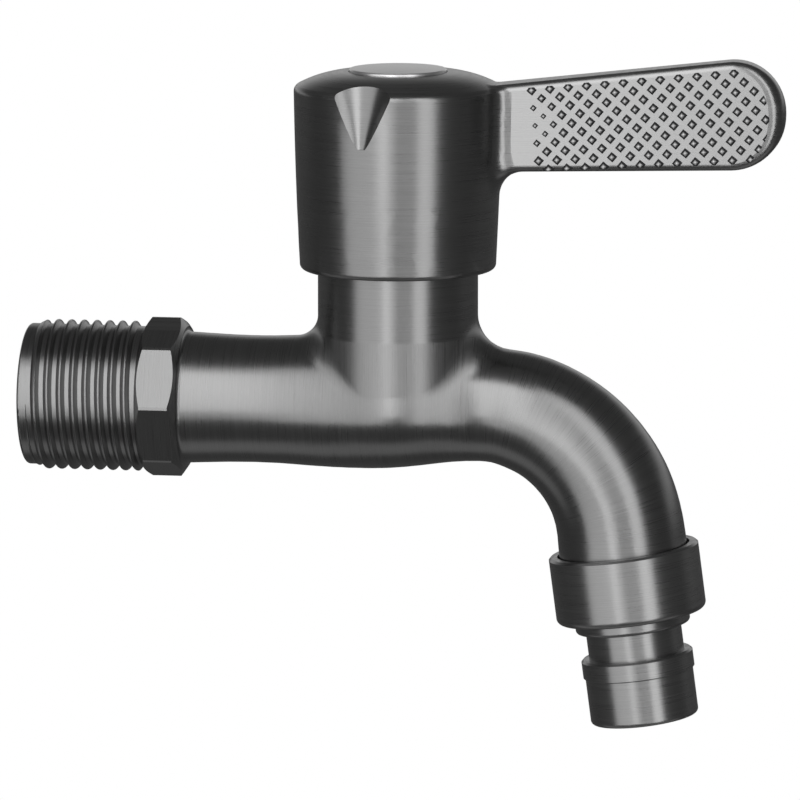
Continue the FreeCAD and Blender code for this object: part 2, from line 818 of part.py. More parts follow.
def make_housing():
    shell = turned(
        "bonnet",
        [
            ("spindleRadius + partGap", "shoulderHeight"),
            ("discBoreRadius", "shoulderHeight"),
            ("discBoreRadius", "skirtBottom"),
            ("skirtRadius", "skirtBottom"),
            ("skirtRadius", "bonnetThreadBottom"),
            ("neckThreadRadius - partGap - bonnetThreadLead", "bonnetThreadBottom"),
            ("neckThreadRadius - partGap", "bonnetThreadBottom + bonnetThreadLead"),
            ("neckThreadRadius - partGap", "flangeBottom"),
            ("flangeRadius", "flangeBottom"),
            ("flangeRadius", "hexBottom"),
            ("bossRadius", "hexBottom"),
            ("bossRadius", "bossTop"),
            ("spindleRadius + partGap", "bossTop"),
        ],
    )
    hexagon = prism("bonnetHex", 6, "bonnetAcross", "bonnetHexHeight", z="hexBottom")
    corner = "bonnetAcross / 2 / cos(30) + 2 * partGap"
    shaper = turned(
        "bonnetHexShaper",
        [
            ("bossRadius - joinOverlap", "hexBottom"),
            (corner, "hexBottom"),
            (corner, "bossBottom - bonnetHexChamfer"),
            ("bonnetAcross / 2 - bonnetHexCut", "bossBottom"),
            ("bossRadius - joinOverlap", "bossBottom"),
        ],
    )
    nut = common("bonnetNut", hexagon, shaper)
    crown = cut(
        "bonnetCrown",
        cylinder(
            "crownOuter",
            "bossRadius",
            "crownHeight + joinOverlap",
            z="bossTop - joinOverlap",
            axis=(0, 0, 1),
            angle="180 + leverSwing / 2 - crownSweep / 2",
            sweep="crownSweep",
        ),
        cylinder("crownInner", "crownInner", "crownHeight + 2 * toolOverrun", z="bossTop - toolOverrun"),
    )
    windows = box(
        "skirtWindows",
        "windowWidth",
        "skirtRadius * 4",
        "windowTop - windowBottom",
        x="-windowWidth / 2",
        y="-skirtRadius * 2",
        z="windowBottom",
    )
    keyways = box(
        "skirtKeyways",
        "skirtRadius * 4",
        "discLugWidth + 2 * partGap",
        "movingDiscBottom - seatHeight + toolOverrun",
        x="-skirtRadius * 2",
        y="-discLugWidth / 2 - partGap",
        z="seatHeight",
    )
    solid = fuse("housingSolid", shell, nut, crown)
    finish("cartridge_housing", cut("housing", solid, windows, keyways), True)


def ceramic_disc(name, bottom, turn):
    """A flat disc with two sector ports either side of a middle web."""
    blank = cylinder(name + "Blank", "discRadius", "discThickness", z=bottom)
    ports = [
        cylinder(
            f"{name}Port{side}",
            "discPortRadius",
            "discThickness + 2 * toolOverrun",
            z=f"{bottom} - toolOverrun",
            axis=(0, 0, 1),
            angle=f"{turn + side} - discPortSweep / 2",
            sweep="discPortSweep",
        )
        for side in (90, 270)
    ]
    middle = cylinder(name + "Hub", "discHubRadius", "discThickness", z=bottom)
    return fuse(name, cut(name + "Ported", blank, *ports), middle)


def make_discs():
    finish("seat_seal", washer("seatRing", "sealHole", "discRadius", "seatHeight", "sealThickness"), True)
    bar = box(
        "fixedDiscBar",
        "discLugRadius * 2",
        "discLugWidth",
        "discThickness",
        x="-discLugRadius",
        y="-discLugWidth / 2",
        z="fixedDiscBottom",
    )
    rim = washer(
        "fixedDiscLugRing", "discRadius - joinOverlap", "discLugRadius", "fixedDiscBottom", "discThickness"
    )
    lugs = common("fixedDiscLugs", bar, rim)
    fixed = fuse("fixedDiscWithLugs", ceramic_disc("fixedDisc", "fixedDiscBottom", 0), lugs)
    finish("fixed_ceramic_disc", fixed, True)
    slot = box(
        "driveSlot",
        "driveSlotWidth",
        "discRadius * 3",
        "driveSlotDepth + toolOverrun",
        x="-driveSlotWidth / 2",
        y="-discRadius * 1.5",
        z="movingDiscTop - driveSlotDepth",
    )
    moving = cut("movingDiscSlotted", ceramic_disc("movingDisc", "movingDiscBottom", 90), slot)
    finish("moving_ceramic_disc", moving, True)


def make_stem():
    """Spindle with its base, two ring grooves, the clip's groove, the drive tongue and the splined end."""
    corners = [
        ("0", "spindleBaseBottom"),
        ("spindleBaseRadius", "spindleBaseBottom"),
        ("spindleBaseRadius", "spindleBaseTop"),
        ("spindleRadius", "spindleBaseTop"),
    ]
    half = "ringGrooveWidth / 2"
    grooves = [
        (f"lowerRingHeight - {half}", f"lowerRingHeight + {half}", "ringGrooveRadius"),
        (f"upperRingHeight - {half}", f"upperRingHeight + {half}", "ringGrooveRadius"),
        ("circlipHeight", "circlipTop", "circlipGrooveRadius"),
    ]
    for bottom, top, root in grooves:
        corners += [("spindleRadius", bottom), (root, bottom), (root, top), ("spindleRadius", top)]
    corners += [("spindleRadius", "splineBottom"), ("0", "splineBottom")]
    stem = turned("spindleStem", corners)
    tongue_bottom = "movingDiscTop - driveSlotDepth + partGap"
    tongue = box(
        "driveTongue",
        "driveSlotWidth - 2 * partGap",
        "driveTongueLength",
        f"spindleBaseBottom + joinOverlap - ({tongue_bottom})",
        x="partGap - driveSlotWidth / 2",
        y="-driveTongueLength / 2",
        z=tongue_bottom,
    )
    rod = splined_rod("spindleSpline", "splineRadius", "splineRootRadius", "circlipTop", "spindleTop")
    hole = cylinder(
        "screwHole",
        "screwRadius + runningGap",
        "screwHoleDepth + toolOverrun",
        z="spindleTop - screwHoleDepth",
    )
    finish("spindle", cut("spindleTapped", fuse("spindleSolid", stem, tongue, rod), hole), True)


def make_rings():
    """The two O-rings, the clip, the thrust washer and the gasket."""
    inner, outer = "ringGrooveRadius + runningGap", "spindleRadius + partGap - runningGap"
    for place_name in ("lower", "upper"):
        node = f"spindle_{place_name}_o_ring"
        torus = doc.addObject("Part::Torus", node)
        bind(torus, Radius1=f"({inner} + {outer}) / 2", Radius2=f"({outer} - ({inner})) / 2")
        place(torus, z=f"{place_name}RingHeight")
        finish(node, torus, True)
    clip = washer(
        "clipRing", "circlipGrooveRadius + partGap", "circlipRadius", "circlipHeight", "circlipThickness"
    )
    mouth = box(
        "clipMouth",
        "circlipRadius * 2",
        "circlipOpening",
        "circlipThickness + 2 * toolOverrun",
        y="-circlipOpening / 2",
        z="circlipHeight - toolOverrun",
    )
    finish("circlip", cut("clip", clip, mouth), True)
    thrust = washer(
        "thrustRing",
        "spindleRadius + 2 * partGap",
        "spindleBaseRadius",
        "shoulderHeight - thrustThickness",
        "thrustThickness",
    )
    finish("thrust_washer", thrust, True)
    gasket = washer(
        "gasketRing", "neckThreadRadius + 2 * partGap", "gasketRadius", "neckTop", "gasketThickness"
    )
    finish("cartridge_gasket", gasket, True)


def make_splined_parts():
    """The stop collar and the handle's insert, both pushed over the spindle's spline."""
    outer, root = "splineRadius + splineGap", "splineRootRadius + splineGap"
    collar_top = "splineBottom + stopCollarThickness"
    bore = splined_rod("stopBore", outer, root, "splineBottom - toolOverrun", f"{collar_top} + toolOverrun")
    ring_blank = cylinder("stopRing", "stopCollarRadius", "stopCollarThickness", z="splineBottom")
    lug = cylinder(
        "stopLug",
        "stopLugRadius",
        "stopCollarThickness",
        z="splineBottom",
        axis=(0, 0, 1),
        angle="360 - stopLugSweep / 2",
        sweep="stopLugSweep",
    )
    finish("stop_collar", cut("stop", fuse("stopSolid", ring_blank, lug), bore), True)
    bottom = "handleBossBottom"
    sleeve = cylinder("insertSleeve", "insertRadius - runningGap", f"spindleTop - {bottom}", z=bottom)
    bore = splined_rod("insertBore", outer, root, f"{bottom} - toolOverrun", "spindleTop + toolOverrun")
    finish("spline_insert", cut("insert", sleeve, bore), True)


make_housing()
make_discs()
make_stem()
make_rings()
make_splined_parts()

# handle: hub and lever in one casting, with its screw and cap


def make_hub():
    edge_x = "hubTopRadius - hubRimRound * (1 - sin(domeEdgeSlope))"
    edge_z = "hubRimHeight + hubRimRound * cos(domeEdgeSlope)"
    return turned(
        "hub",
        [
            ("0", "hubBottom"),
            ("hubBottomRadius - hubBottomRound", "hubBottom", "hubBottomRound", 1),
            ("hubBottomRadius", "hubBottom + hubBottomRound", "hubSideRadius", 1),
            ("hubTopRadius", "hubRimHeight", "hubRimRound", 1),
            (edge_x, edge_z, "domeRadius", 1),
            ("capSeatRadius", "domeTop"),
            ("0", "domeTop"),
        ],
    )


def make_lever():
    """The lever's side outline, thinned towards its tip and rounded along its edges."""
    top_x = "leverTip - leverTipTopRadius * (1 + sin(leverTopSlope))"
    top_z = "leverTipHeight + leverTipFlat + leverTipTopRadius * cos(leverTopSlope)"
    low_x = "leverTip - leverTipRadius * (1 - sin(leverBottomSlope))"
    low_z = "leverTipHeight - leverTipRadius * cos(leverBottomSlope)"
    side = padded(
        "leverSide",
        [
            ("leverRoot", f"{low_z} - ({low_x} - leverRoot) * tan(leverBottomSlope)"),
            (low_x, low_z, "leverTipRadius", 1),
            ("leverTip", "leverTipHeight"),
            ("leverTip", "leverTipHeight + leverTipFlat", "leverTipTopRadius", 1),
            (top_x, top_z),
            ("leverRoot", f"{top_z} - ({top_x} - leverRoot) * tan(leverTopSlope)"),
        ],
        "leverRootThickness * 2",
    )
    plan = doc.addObject("PartDesign::Body", "leverPlan")
    sketch = outline(
        plan,
        "leverPlanOutline",
        [
            ("leverRoot - toolOverrun", "-leverRootThickness / 2"),
            ("leverTip + toolOverrun", "-leverTipThickness / 2"),
            ("leverTip + toolOverrun", "leverTipThickness / 2"),
            ("leverRoot - toolOverrun", "leverRootThickness / 2"),
        ],
        "XY_Plane",
    )
    pad = plan.newObject("PartDesign::Pad", "leverPlanPad")
    pad.Profile = sketch
    pad.setExpression("Length", bound("domeTop * 1.2"))
    blank = common("leverBlank", side, plan)
    root, tip = number("leverRoot + 2 * partGap"), number("leverTip - joinOverlap")
    half = number("leverTipThickness") * 0.1
    plain, wide = number("leverEdgeRound"), number("leverTipEdgeRound")

    def runs_along(edge):
        box = edge.BoundBox
        crosses = box.YMin < -half and box.YMax > half
        in_middle = max(abs(box.YMin), abs(box.YMax)) < half
        return box.XMax > root and not crosses and not in_middle

    return rounded("lever", blank, lambda point: wide if point.x > tip else plain, runs_along)


def make_handle():
    # the hub's seam is turned away from the lever
    solid = fuse("handleSolid", place(make_hub(), axis=(0, 0, 1), angle="180"), make_lever())
    doc.recompute()
    wide = number("leverRootThickness / 2 + 2 * partGap")
    low, high = number("leverRoot + joinOverlap"), number("hubTopRadius + joinOverlap")

    def at_root(edge):
        box = edge.BoundBox
        return box.XMin > low and box.XMax < high and box.YMin > -wide and box.YMax < wide

    under, beside = number("leverUnderBlend"), number("leverRootBlend")
    middle = number("leverTipHeight - leverTipRadius / 2")
    blended = rounded("handleBlended", solid, lambda point: under if point.z < middle else beside, at_root)
    notches = []
    for side in (-1, 1):
        tool = doc.addObject("Part::Cone", f"notchTool{len(notches) + 1}")
        bind(tool, Radius1="notchFootRadius", Radius2="notchMouthRadius", Height="notchToolLength")
        foot = "hubTopRadius + notchFootReach"
        place(tool, x=foot, z="hubRimHeight - notchDrop", axis=(0, 1, 0), angle="notchTilt")
        turned_tool = doc.addObject("Part::Compound", f"notch{len(notches) + 1}")
        turned_tool.Links = [tool]
        turned_tool.Placement = Placement(Vector(), Rotation(Vector(0, 0, side), 100))
        turned_tool.setExpression("Placement.Rotation.Angle", bound("notchAzimuth"))
        notches.append(turned_tool)
    inside = turned(
        "handleInside",
        [
            ("0", "hubBottom - toolOverrun"),
            ("hubCavityRadius", "hubBottom - toolOverrun"),
            ("hubCavityRadius", "hubCavityTop"),
            ("handleBossRadius", "hubCavityTop"),
            ("handleBossRadius", "handleBossBottom"),
            ("insertRadius", "handleBossBottom"),
            ("insertRadius", "spindleTop"),
            ("screwRadius + screwClearance", "spindleTop"),
            ("screwRadius + screwClearance", "handleWebTop"),
            ("screwRecessRadius", "handleWebTop"),
            ("screwRecessRadius", "capSeatHeight"),
            ("capSeatRadius", "capSeatHeight"),
            ("capSeatRadius", "domeTop + toolOverrun"),
            ("0", "domeTop + toolOverrun"),
        ],
    )
    place(inside, axis=(0, 0, 1), angle="180")
    finish("handle_lever", cut("handle", cut("handleHollow", blended, inside), *notches), True)


def make_fasteners():
    screw = turned(
        "screwTurned",
        [
            ("0", "screwHeadBottom - screwLength"),
            ("screwRadius - screwLead", "screwHeadBottom - screwLength"),
            ("screwRadius", "screwHeadBottom - screwLength + screwLead"),
            ("screwRadius", "screwHeadBottom"),
            ("screwHeadRadius", "screwHeadBottom"),
            ("screwHeadRadius", "screwHeadBottom + screwHeadHeight * 0.6"),
            ("screwHeadRadius * 0.75", "screwHeadTop"),
            ("0", "screwHeadTop"),
        ],
    )
    slots = [
        box(
            "screwSlotAcross",
            "screwSlotWidth",
            "screwHeadRadius * 1.2",
            "screwSlotDepth + toolOverrun",
            x="-screwSlotWidth / 2",
            y="-screwHeadRadius * 0.6",
            z="screwHeadTop - screwSlotDepth",
        ),
        box(
            "screwSlotAlong",
            "screwHeadRadius * 1.2",
            "screwSlotWidth",
            "screwSlotDepth + toolOverrun",
            x="-screwHeadRadius * 0.6",
            y="-screwSlotWidth / 2",
            z="screwHeadTop - screwSlotDepth",
        ),
    ]
    finish("handle_screw", cut("screw", screw, *slots), True)
    coil = washer(
        "springRing",
        "screwRadius + screwClearance",
        "screwHeadRadius",
        "handleWebTop",
        "springWasherThickness",
    )
    gap = box(
        "springGap",
        "screwHeadRadius * 2",
        "springWasherOpening",
        "springWasherThickness + 2 * toolOverrun",
        y="-springWasherOpening / 2",
        z="handleWebTop - toolOverrun",
    )
    finish("screw_spring_washer", cut("spring", coil, gap), True)
    skirt = "screwRecessRadius - 2 * partGap"
    edge = "capRadius - capEdgeBreak"
    shoulder = "capSeatHeight + capThickness - capCrown"
    cap = turned(
        "cap",
        [
            ("0", "capSeatHeight"),
            (f"{skirt} - capSkirtWall", "capSeatHeight"),
            (f"{skirt} - capSkirtWall", "capSeatHeight - capSkirtDepth"),
            (skirt, "capSeatHeight - capSkirtDepth"),
            (skirt, "capSeatHeight"),
            ("capRadius", "capSeatHeight"),
            ("capRadius", f"{shoulder} - capEdgeBreak"),
            (edge, shoulder, f"(({edge}) ^ 2 + capCrown ^ 2) / 2 / capCrown", 1),
            ("0", "capSeatHeight + capThickness"),
        ],
    )
    finish("index_cap", cap, True)


make_handle()
make_fasteners()

doc.recompute()
for item in doc.Objects:
    if "Invalid" in item.State or "Error" in item.State:
        raise RuntimeError(f"{item.Name} did not build")
for node, item in finished.items():
    shape = item.Shape
    if shape.isNull() or not shape.isValid() or len(shape.Solids) != 1:
        raise RuntimeError(f"{node} is not one sound solid")
    shape.exportStep(f"parts/{node}.step")
print("built", len(finished), "sub-parts")
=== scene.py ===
from math import atan2, cos, pi, radians, sin, sqrt, tan

import bmesh
import bpy
from mathutils import Matrix, Vector


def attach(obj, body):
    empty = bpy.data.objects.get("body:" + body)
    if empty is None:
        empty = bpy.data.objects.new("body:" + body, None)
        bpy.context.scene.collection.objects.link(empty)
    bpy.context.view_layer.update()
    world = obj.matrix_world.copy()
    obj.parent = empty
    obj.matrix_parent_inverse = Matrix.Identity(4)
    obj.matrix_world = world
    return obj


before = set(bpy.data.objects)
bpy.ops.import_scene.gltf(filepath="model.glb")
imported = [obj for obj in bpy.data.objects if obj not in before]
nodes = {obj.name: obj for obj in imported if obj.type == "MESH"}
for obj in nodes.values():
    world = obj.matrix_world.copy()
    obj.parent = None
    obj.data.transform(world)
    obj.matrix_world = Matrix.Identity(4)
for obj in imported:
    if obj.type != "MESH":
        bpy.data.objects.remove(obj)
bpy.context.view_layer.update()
print("tap loaded:", len(nodes), "solids")

# places on the tap, in metres
tap = {
    "neckX": 0.0355,
    "bendX": 0.0472,
    "bendRadius": 0.0197,
    "outletX": 0.066727,
    "outletZ": -0.0170945,
    "outletTilt": 7.6,
    "neckFoot": 0.0098,
    "leverStart": 0.0142,
    "leverPaintedSheen": 1.16,  # painted sheen: the lever's colour made brighter than the hub's, for the front light reflected in its flat faces
    "leverSheenFade": 0.001,
}

# camera

camera = {
    "target": (0.035768, 0.0000854, 0.0002743),
    "azimuth": 8.7,
    "elevation": 9.1,
    "distance": 1.0139,
    "lens": 328.5,
    "sensor": 36.0,
    "nearest": 0.01,
    "farthest": 50.0,
}


def directionFrom(azimuth, elevation):
    a, e = radians(azimuth), radians(elevation)
    return Vector((sin(a) * cos(e), -cos(a) * cos(e), sin(e)))


def aim(obj, target):
    obj.rotation_euler = (Vector(target) - obj.location).to_track_quat("-Z", "Y").to_euler()


def link(obj):
    bpy.context.scene.collection.objects.link(obj)
    return obj


def setCamera():
    data = bpy.data.cameras.new("photoCamera")
    data.lens = camera["lens"]
    data.sensor_width = camera["sensor"]
    data.clip_start = camera["nearest"]
    data.clip_end = camera["farthest"]
    obj = link(bpy.data.objects.new("photoCamera", data))
    back = directionFrom(camera["azimuth"], camera["elevation"])
    obj.location = Vector(camera["target"]) + back * camera["distance"]
    aim(obj, camera["target"])
    bpy.context.scene.camera = obj


setCamera()
print("camera set")

# studio: softboxes in front, dark cards round the sides, pale floor

studio = {
    "reach": 0.75,
    "softboxes": [  # name, degrees right of and above the camera's line, width, height, brightness
        ("leftWide", -38, 7, 56, 92, 1.2),
        ("leftCore", -12, 10, 21, 70, 1.6),
        ("faintMiddle", 9, 4, 18, 84, 0.8),
        ("rightStrip", 31, 4, 22, 88, 1.95),
    ],
    "fill": 0.35,
    "floorHeight": -0.8,
    "floorSize": 6.0,
    "floorGrey": 0.8,
    "cardGrey": 0.09,
    "cardReach": 1.1,
    "cardLift": 0.05,  # from the floor to the lowest card
    "lowest": 0.1,  # the pale strip stays below this height over the floor
    "backdrop": 0.55,
    "backdropStart": (0.1, 0.6),  # distance behind the tap, where the pale backdrop fades in
    "backdropFoot": (0.02, 0.12),  # height over distance, where the pale backdrop fades in and out
    "backdropHead": (0.16, 0.7),
    "underGlow": 0.26,
    "underFront": (-0.26, -0.12),  # where the pale strip below fades in and out, front to back
    "underBack": (0.12, 0.28),
    "leastDepth": 0.01,
}
white = (1, 1, 1, 1)


def mathNode(tree, operation, *values):
    node = tree.nodes.new("ShaderNodeMath")
    node.operation = operation
    for i, value in enumerate(values):
        if isinstance(value, (int, float)):
            node.inputs[i].default_value = value
        else:
            tree.links.new(value, node.inputs[i])
    return node.outputs[0]


# a value that goes smoothly from one level to another
def fade(tree, value, fromMin, fromMax, toMin, toMax, smooth=False):
    node = tree.nodes.new("ShaderNodeMapRange")
    if smooth:
        node.interpolation_type = "SMOOTHSTEP"
    tree.links.new(value, node.inputs["Value"])
    levels = {"From Min": fromMin, "From Max": fromMax, "To Min": toMin, "To Max": toMax}
    for name, level in levels.items():
        node.inputs[name].default_value = level
    return node.outputs["Result"]


def objectPlace(tree):
    place = tree.nodes.new("ShaderNodeTexCoord")
    split = tree.nodes.new("ShaderNodeSeparateXYZ")
    tree.links.new(place.outputs["Object"], split.inputs[0])
    return split.outputs


def addSoftbox(name, azimuth, elevation, width, height, brightness):
    light = bpy.data.lights.new(name, "AREA")
    light.shape = "RECTANGLE"
    light.size = 2 * studio["reach"] * tan(radians(width / 2))
    light.size_y = 2 * studio["reach"] * tan(radians(height / 2))
    light.energy = brightness * pi * light.size * light.size_y
    obj = link(bpy.data.objects.new(name, light))
    toLight = directionFrom(camera["azimuth"] + azimuth, camera["elevation"] + elevation)
    obj.location = Vector(camera["target"]) + toLight * studio["reach"]
    aim(obj, camera["target"])
    obj.visible_camera = False


# 1 for rays that look at the background, 0 for rays that light the tap
def whereSeen(tree):
    path = tree.nodes.new("ShaderNodeLightPath")
    last = path.outputs["Is Camera Ray"]
    for name in ("Is Glossy Ray", "Is Transmission Ray"):
        last = mathNode(tree, "MAXIMUM", last, path.outputs[name])
    return last


def setWorld():
    world = bpy.data.worlds.new("paleWorld")
    bpy.context.scene.world = world
    world.use_nodes = True
    tree = world.node_tree
    back = tree.nodes["Background"]
    back.inputs["Color"].default_value = white
    tree.links.new(fade(tree, whereSeen(tree), 0, 1, studio["fill"], 1), back.inputs["Strength"])


def setFloor():
    mesh = bpy.data.meshes.new("floor")
    bm = bmesh.new()
    bmesh.ops.create_grid(bm, x_segments=1, y_segments=1, size=studio["floorSize"])
    bmesh.ops.translate(bm, verts=bm.verts, vec=(0, 0, studio["floorHeight"]))
    bm.to_mesh(mesh)
    bm.free()
    floor = link(bpy.data.objects.new("floor", mesh))
    paint = bpy.data.materials.new("paleFloor")
    paint.use_nodes = True
    tree = paint.node_tree
    tree.nodes.clear()
    out = tree.nodes.new("ShaderNodeOutputMaterial")
    diffuse = tree.nodes.new("ShaderNodeBsdfDiffuse")
    diffuse.inputs["Color"].default_value = (*[studio["floorGrey"]] * 3, 1)
    glow = tree.nodes.new("ShaderNodeEmission")
    mix = tree.nodes.new("ShaderNodeMixShader")
    tree.links.new(whereSeen(tree), mix.inputs["Fac"])
    tree.links.new(diffuse.outputs[0], mix.inputs[1])
    tree.links.new(glow.outputs[0], mix.inputs[2])
    tree.links.new(mix.outputs[0], out.inputs["Surface"])
    mesh.materials.append(paint)


# dark cards on all sides, with a pale backdrop and a pale strip below, seen in the metal only
def setCards():
    reach = studio["cardReach"]
    bm = bmesh.new()
    bmesh.ops.create_cube(bm, size=2 * reach)
    bottom = min(bm.faces, key=lambda f: f.calc_center_median().z)
    lift = (0, 0, reach + studio["floorHeight"] + studio["cardLift"])
    bmesh.ops.translate(bm, verts=bottom.verts[:], vec=lift)
    mesh = bpy.data.meshes.new("darkCards")
    bm.to_mesh(mesh)
    bm.free()
    cards = link(bpy.data.objects.new("darkCards", mesh))
    paint = bpy.data.materials.new("cardGrey")
    paint.use_nodes = True
    tree = paint.node_tree
    tree.nodes.clear()
    out = tree.nodes.new("ShaderNodeOutputMaterial")
    glow = tree.nodes.new("ShaderNodeEmission")
    glow.inputs["Color"].default_value = white
    x, y, z = objectPlace(tree)
    rise = mathNode(tree, "DIVIDE", z, mathNode(tree, "MAXIMUM", y, studio["leastDepth"]))
    head = fade(tree, rise, *studio["backdropHead"], studio["backdrop"], 0, True)
    foot = fade(tree, rise, *studio["backdropFoot"], 0, 1, True)
    behind = fade(tree, y, *studio["backdropStart"], 0, 1, True)
    pale = mathNode(tree, "MULTIPLY", mathNode(tree, "MULTIPLY", head, foot), behind)
    front = fade(tree, y, *studio["underFront"], 0, studio["underGlow"], True)
    back = fade(tree, y, *studio["underBack"], 1, 0, True)
    isLow = mathNode(tree, "LESS_THAN", z, studio["floorHeight"] + studio["lowest"])
    strip = mathNode(tree, "MULTIPLY", mathNode(tree, "MULTIPLY", front, back), isLow)
    level = mathNode(tree, "ADD", mathNode(tree, "ADD", pale, strip), studio["cardGrey"])
    tree.links.new(level, glow.inputs["Strength"])
    tree.links.new(glow.outputs[0], out.inputs["Surface"])
    mesh.materials.append(paint)
    for kind in ("camera", "diffuse", "transmission", "shadow"):
        setattr(cards, "visible_" + kind, False)


for box in studio["softboxes"]:
    addSoftbox(*box)
setWorld()
setFloor()
setCards()
print("studio set")

# brushed metal

brushed = {
    "colour": 0.24,
    "roughness": 0.3,
    "roughnessSpread": 0.1,
    "roughnessBand": (0.25, 0.75),
    "stretch": 0.5,
    "streak": 9000.0,  # streaks per metre across the brushing
    "streakLength": 90.0,
    "detail": 3.0,
    "detailLoss": 0.65,
    "toneSpread": 0.2,
    "toneBand": (0.3, 0.7),
    "bump": 0.08,
    "bumpDepth": 0.00004,
    "hubStretch": 0.3,  # streaks on hub and studs are this much longer
    "nozzleTone": 1.15,
}
cap = {"colour": 0.94, "roughness": 0.36, "stretch": 0.0}
grains = {"band": (0.3, 0.7), "spread": 0.15}


def vectorOf(tree, x, y, z):
    join = tree.nodes.new("ShaderNodeCombineXYZ")
    for value, socket in zip((x, y, z), join.inputs):
        if isinstance(value, (int, float)):
            socket.default_value = value
        else:
            tree.links.new(value, socket)
    return join.outputs[0]


def greyOf(tree, value):
    grey = tree.nodes.new("ShaderNodeCombineColor")
    for name in ("Red", "Green", "Blue"):
        tree.links.new(value, grey.inputs[name])
    return grey.outputs[0]


# brushing(tree, x, y, z) gives three positions, the first across the streaks, then the direction across
# them and a factor of painted light and shade on the metal's tone, 1 where none is painted
def metalOf(name, brushing, colour, roughness, stretch=brushed["stretch"]):
    paint = bpy.data.materials.new(name)
    paint.use_nodes = True
    tree = paint.node_tree
    shader = tree.nodes["Principled BSDF"]
    (u, v, w), across, paintedLightFactor = brushing(tree, *objectPlace(tree))
    streaks = tree.nodes.new("ShaderNodeTexNoise")
    streaks.inputs["Scale"].default_value = 1.0
    streaks.inputs["Detail"].default_value = brushed["detail"]
    streaks.inputs["Roughness"].default_value = brushed["detailLoss"]
    stretched = vectorOf(
        tree,
        mathNode(tree, "MULTIPLY", u, brushed["streak"]),
        mathNode(tree, "MULTIPLY", v, brushed["streakLength"]),
        mathNode(tree, "MULTIPLY", w, brushed["streakLength"]),
    )
    tree.links.new(stretched, streaks.inputs["Vector"])
    spread = brushed["roughnessSpread"] / 2
    band = brushed["roughnessBand"]
    rough = fade(tree, streaks.outputs["Fac"], *band, roughness - spread, roughness + spread)
    tree.links.new(rough, shader.inputs["Roughness"])
    spread = brushed["toneSpread"] / 2
    band = brushed["toneBand"]
    tone = fade(tree, streaks.outputs["Fac"], *band, colour * (1 - spread), colour * (1 + spread))
    # painted light and shade scale the metal's tone here
    grey = greyOf(tree, mathNode(tree, "MULTIPLY", tone, paintedLightFactor))
    tree.links.new(grey, shader.inputs["Base Color"])
    bump = tree.nodes.new("ShaderNodeBump")
    bump.inputs["Strength"].default_value = brushed["bump"]
    bump.inputs["Distance"].default_value = brushed["bumpDepth"]
    tree.links.new(streaks.outputs["Fac"], bump.inputs["Height"])
    tree.links.new(bump.outputs["Normal"], shader.inputs["Normal"])
    shader.inputs["Metallic"].default_value = 1.0
    shader.inputs["Anisotropic"].default_value = stretch
    tree.links.new(across, shader.inputs["Tangent"])
    return paint


# one of two values, by a switch of 0 or 1
def either(tree, switch, off, on):
    change = mathNode(tree, "MULTIPLY", switch, mathNode(tree, "SUBTRACT", on, off))
    return mathNode(tree, "ADD", off, change)


# brushed round the barrel and spout, and in level rings round the neck
def roundTube(tree, x, y, z):
    fromX = mathNode(tree, "SUBTRACT", x, tap["bendX"])
    fromZ = mathNode(tree, "ADD", z, tap["bendRadius"])
    isBent = mathNode(tree, "GREATER_THAN", fromX, 0.0)
    angle = mathNode(tree, "MULTIPLY", mathNode(tree, "ARCTAN2", fromX, fromZ), isBent)
    bend = mathNode(tree, "MULTIPLY", angle, tap["bendRadius"])
    along = either(tree, isBent, fromX, bend)
    isNeck = mathNode(tree, "GREATER_THAN", z, tap["neckFoot"])
    u = either(tree, isNeck, along, z)
    level = mathNode(tree, "SUBTRACT", 1.0, isNeck)
    forward = mathNode(tree, "MULTIPLY", mathNode(tree, "COSINE", angle), level)
    down = either(tree, isNeck, mathNode(tree, "MULTIPLY", mathNode(tree, "SINE", angle), -1.0), 1.0)
    return (u, y, z), vectorOf(tree, forward, 0, down), 1.0


# brushed in rings round the outlet axis
def roundOutlet(tree, x, y, z):
    tilt = radians(tap["outletTilt"])
    over = mathNode(tree, "MULTIPLY", mathNode(tree, "SUBTRACT", x, tap["outletX"]), sin(tilt))
    under = mathNode(tree, "MULTIPLY", mathNode(tree, "SUBTRACT", z, tap["outletZ"]), -cos(tilt))
    along = mathNode(tree, "ADD", over, under)
    return (along, x, y), vectorOf(tree, sin(tilt), 0, -cos(tilt)), 1.0


# brushed in rings round the hub and lengthwise on the lever; the lever's colour is painted brighter, a
# painted sheen for the front light reflected in its flat faces
def roundHub(tree, x, y, z):
    fromX = mathNode(tree, "SUBTRACT", x, tap["neckX"])
    start, width = tap["leverStart"], tap["leverSheenFade"]
    isLever = mathNode(tree, "GREATER_THAN", fromX, start)
    v = either(tree, isLever, x, mathNode(tree, "MULTIPLY", x, brushed["hubStretch"]))
    # painted sheen, fading in where the lever starts
    tone = fade(tree, fromX, start - width, start + width, 1, tap["leverPaintedSheen"], True)
    return (z, v, y), vectorOf(tree, 0, 0, 1), tone


# turned in rings on the cap
def roundCap(tree, x, y, z):
    fromX = mathNode(tree, "SUBTRACT", x, tap["neckX"])
    squares = [mathNode(tree, "POWER", value, 2.0) for value in (fromX, y)]
    reach = mathNode(tree, "SQRT", mathNode(tree, "ADD", *squares))
    return (reach, x, y), vectorOf(tree, fromX, y, 0), 1.0


